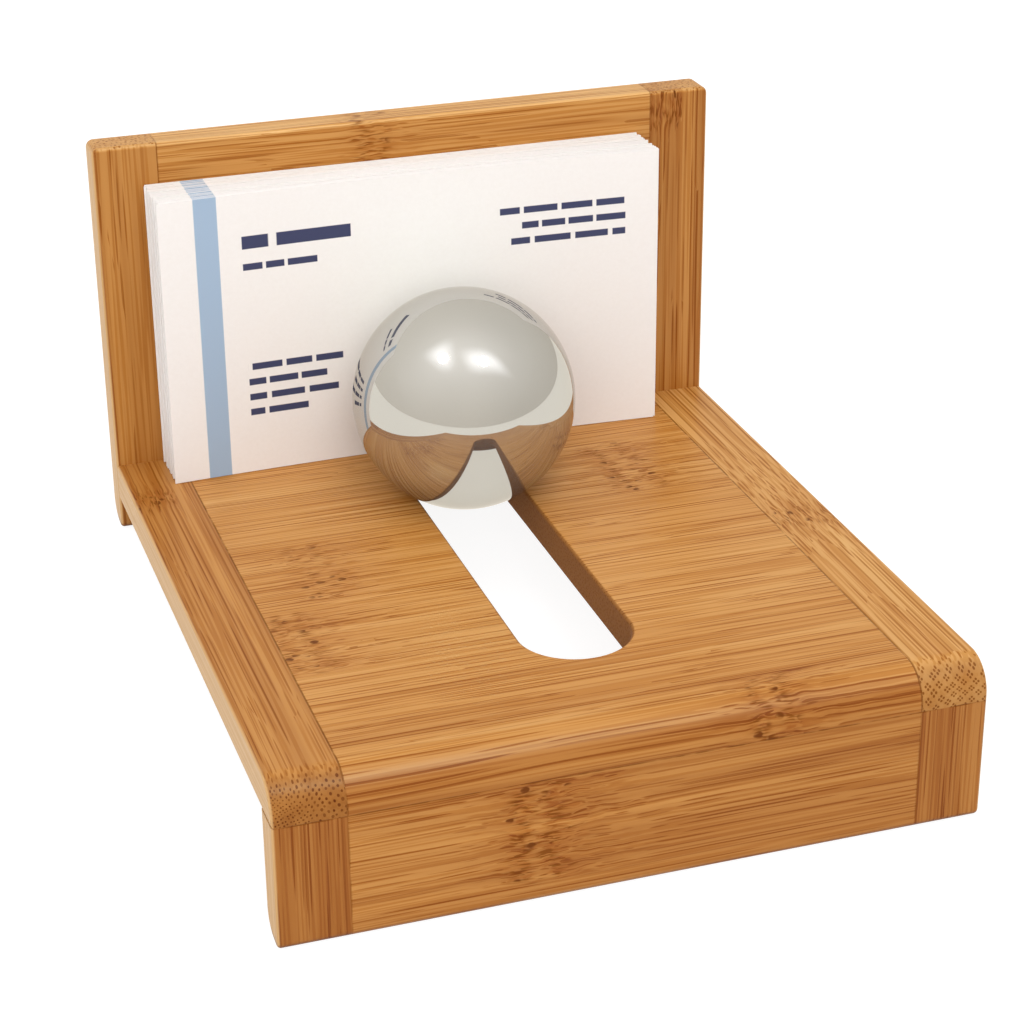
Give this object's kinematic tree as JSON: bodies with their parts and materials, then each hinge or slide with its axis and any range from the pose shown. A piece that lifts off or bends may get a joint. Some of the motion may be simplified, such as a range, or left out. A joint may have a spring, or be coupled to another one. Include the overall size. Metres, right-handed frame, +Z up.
{
  "type": "business card stand",
  "caption": "Free-standing bamboo card stand: a sloping deck on an apron, a back panel, and a steel ball that rolls in a slot and holds the cards to the panel.",
  "frame": {"origin": "on the floor, under the middle of the stand's outer box", "axes": "+X to the right as seen from the front, +Y to the rear, +Z up"},
  "size_m": [0.111, 0.1312, 0.0699],
  "materials": {
    "bamboo": "satin lacquer",
    "dowel_wood": "raw",
    "polished_steel": "mirror polish",
    "card": "matt"
  },
  "bodies": {
    "stand": {"deck_board": "bamboo", "deck_rail_left": "bamboo", "deck_rail_right": "bamboo", "apron_board": "bamboo", "apron_post_left": "bamboo", "apron_post_right": "bamboo", "back_board": "bamboo", "back_stile_left": "bamboo", "back_stile_right": "bamboo", "back_dowels": "dowel_wood", "apron_dowels": "dowel_wood"},
    "ball": {"steel_ball": "polished_steel"},
    "cards": {"business_cards": "card"}
  },
  "joints": [
    {"name": "ball_roll", "type": "slide", "parent": "stand", "child": "ball", "axis": [0, -0.9922, 0.1246], "range_m": [0, 0.0557]},
    {"name": "card_lift", "type": "slide", "parent": "stand", "child": "cards", "axis": [0, 0.1246, 0.9922], "range_m": [0, 0.06]}
  ]
}
